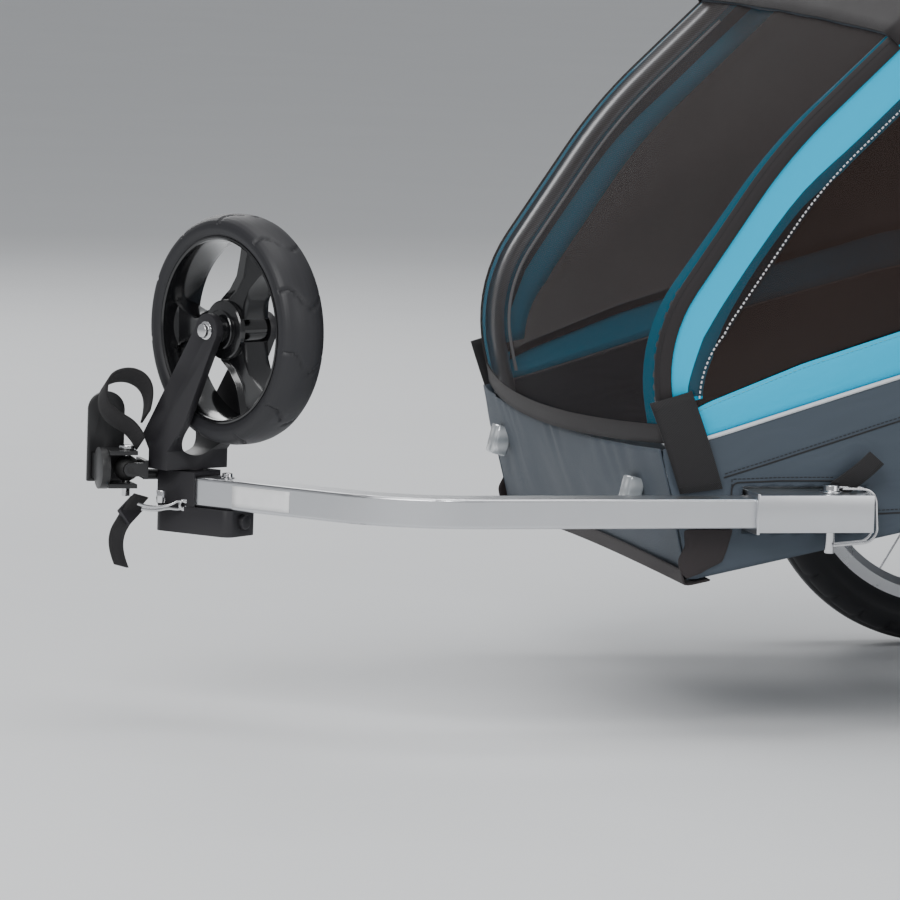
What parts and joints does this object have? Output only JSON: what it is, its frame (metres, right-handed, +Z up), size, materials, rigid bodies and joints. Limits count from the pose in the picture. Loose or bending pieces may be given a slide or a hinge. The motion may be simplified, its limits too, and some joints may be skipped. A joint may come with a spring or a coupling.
{
  "type": "child bicycle trailer",
  "caption": "Two-wheeled folding child trailer with a fabric cabin on curved hoops, a bent tow arm with an axle hitch, and a stroller wheel parked on the arm.",
  "frame": {"origin": "on the ground, in the middle of the whole length and width", "axes": "+X forward in the direction of travel, +Y to the left where the tow arm is, +Z up"},
  "size_m": [1.481, 0.7966, 0.9199],
  "materials": {
    "aluminium_tube": "satin anodised",
    "rim_alloy": "bright anodised",
    "bright_steel": "zinc or chrome plated",
    "steel_wire": "drawn steel",
    "black_steel": "black powder coat",
    "black_plastic": "fine moulded grain",
    "gloss_black_plastic": "polished moulding",
    "tyre_rubber": "moulded tread",
    "soft_rubber": "matt elastomer",
    "grip_foam": "closed-cell foam",
    "turquoise_fabric": "coated polyester",
    "slate_fabric": "coated polyester",
    "black_mesh": "knitted insect mesh",
    "black_webbing": "woven webbing",
    "seat_fabric": "padded polyester",
    "reflector_lens": "clear prismatic"
  },
  "bodies": {
    "chassis": {"base_rails": "aluminium_tube", "cross_tubes": "aluminium_tube", "axle_tube": "aluminium_tube", "axle_brackets": "black_plastic", "wheel_sockets": "black_plastic", "axle_pins": "bright_steel", "pivot_brackets": "black_steel", "pivot_pins": "bright_steel", "tub_side_left": "slate_fabric", "tub_side_right": "slate_fabric", "tub_front": "slate_fabric", "tub_rear": "slate_fabric", "tub_floor": "slate_fabric", "front_bumper": "soft_rubber", "front_reflectors": "reflector_lens", "corner_straps": "black_webbing", "tow_receiver": "aluminium_tube", "receiver_liner": "black_plastic", "frame_bolts": "bright_steel", "tow_arm": "aluminium_tube", "arm_head": "black_plastic", "safety_strap": "black_webbing", "seat_base": "seat_fabric", "lap_belts": "black_webbing", "side_cover_left": "turquoise_fabric", "side_cover_right": "turquoise_fabric", "rear_cover": "slate_fabric"},
    "hoops": {"side_hoop_left": "aluminium_tube", "side_hoop_right": "aluminium_tube", "roof_bars": "aluminium_tube", "hoop_hubs": "black_plastic", "roof_cover": "slate_fabric"},
    "front_cover": {"front_cover": "black_mesh"},
    "handlebar": {"handlebar": "aluminium_tube", "handlebar_grip": "grip_foam"},
    "backrest": {"backrest_frame": "aluminium_tube", "backrest_panel": "seat_fabric", "shoulder_straps": "black_webbing"},
    "wheel_left": {"tyre_left": "tyre_rubber", "rim_left": "rim_alloy", "hub_left": "rim_alloy", "spokes_left": "steel_wire"},
    "wheel_right": {"tyre_right": "tyre_rubber", "rim_right": "rim_alloy", "hub_right": "rim_alloy", "spokes_right": "steel_wire"},
    "axle_button_left": {"axle_button_left": "black_plastic"},
    "axle_button_right": {"axle_button_right": "black_plastic"},
    "tow_pin": {"tow_pin": "bright_steel", "pin_bail": "bright_steel"},
    "caster_fork": {"caster_fork": "black_plastic", "caster_axle": "bright_steel"},
    "caster_wheel": {"caster_tyre": "tyre_rubber", "caster_wheel": "gloss_black_plastic"},
    "caster_button": {"caster_button": "black_plastic"},
    "hitch_neck": {"hitch_neck": "black_steel"},
    "hitch_ball": {"hitch_ball": "soft_rubber"},
    "hitch_yoke": {"hitch_yoke": "black_steel", "hitch_pin": "bright_steel", "axle_plate": "black_steel"}
  },
  "joints": [
    {"name": "hoop_fold", "type": "hinge", "parent": "chassis", "child": "hoops", "pos_m": [0.2025, 0, 0.223], "axis": [0, -1, 0], "range_deg": [0, 36], "deforming": ["side_cover_left", "side_cover_right", "rear_cover"]},
    {"name": "backrest_fold", "type": "hinge", "parent": "chassis", "child": "backrest", "pos_m": [-0.5205, 0, 0.3], "axis": [0, 1, 0], "range_deg": [0, 84]},
    {"name": "cover_lift", "type": "hinge", "parent": "hoops", "child": "front_cover", "pos_m": [0.0171, 0, 0.6746], "axis": [0, -1, 0], "range_deg": [0, 100]},
    {"name": "handlebar_tilt", "type": "hinge", "parent": "hoops", "child": "handlebar", "pos_m": [-0.5005, 0, 0.815], "axis": [0, 1, 0], "range_deg": [-20, 130]},
    {"name": "wheel_left_spin", "type": "hinge", "parent": "chassis", "child": "wheel_left", "pos_m": [-0.2855, 0.36, 0.1995], "axis": [0, 1, 0], "continuous": true},
    {"name": "wheel_right_spin", "type": "hinge", "parent": "chassis", "child": "wheel_right", "pos_m": [-0.2855, -0.36, 0.1995], "axis": [0, 1, 0], "continuous": true},
    {"name": "axle_button_left_press", "type": "slide", "parent": "chassis", "child": "axle_button_left", "axis": [0, -1, 0], "range_m": [0, 0.0035], "stiffness_N_per_m": 800},
    {"name": "axle_button_right_press", "type": "slide", "parent": "chassis", "child": "axle_button_right", "axis": [0, 1, 0], "range_m": [0, 0.0035], "stiffness_N_per_m": 800},
    {"name": "tow_pin_lift", "type": "slide", "parent": "chassis", "child": "tow_pin", "axis": [0, 0, 1], "range_m": [0, 0.07], "deforming": ["pin_bail"]},
    {"name": "caster_swivel", "type": "hinge", "parent": "chassis", "child": "caster_fork", "pos_m": [0.6505, 0.122, 0.2385], "axis": [0, 0, 1], "range_deg": [-15, 45]},
    {"name": "caster_spin", "type": "hinge", "parent": "caster_fork", "child": "caster_wheel", "pos_m": [0.62203, 0.18595, 0.378], "axis": [0.9135, 0.4067, 0], "continuous": true},
    {"name": "caster_button_press", "type": "slide", "parent": "chassis", "child": "caster_button", "axis": [0.6242, -0.7812, 0], "range_m": [0, 0.004], "stiffness_N_per_m": 800},
    {"name": "hitch_roll", "type": "hinge", "parent": "chassis", "child": "hitch_neck", "pos_m": [0.7085, 0.112, 0.231], "axis": [1, 0, 0], "range_deg": [-20, 20], "deforming": ["safety_strap"]},
    {"name": "hitch_pitch", "type": "hinge", "parent": "hitch_neck", "child": "hitch_ball", "pos_m": [0.7085, 0.112, 0.237], "axis": [0, 1, 0], "range_deg": [-10, 10], "deforming": ["safety_strap"]},
    {"name": "hitch_yaw", "type": "hinge", "parent": "hitch_ball", "child": "hitch_yoke", "pos_m": [0.7085, 0.112, 0.237], "axis": [0, 0, 1], "range_deg": [-25, 25], "deforming": ["safety_strap"]}
  ],
  "couplings": [
    {"joint": "backrest_fold", "follows": "hoop_fold", "ratio": 2.3333}
  ]
}
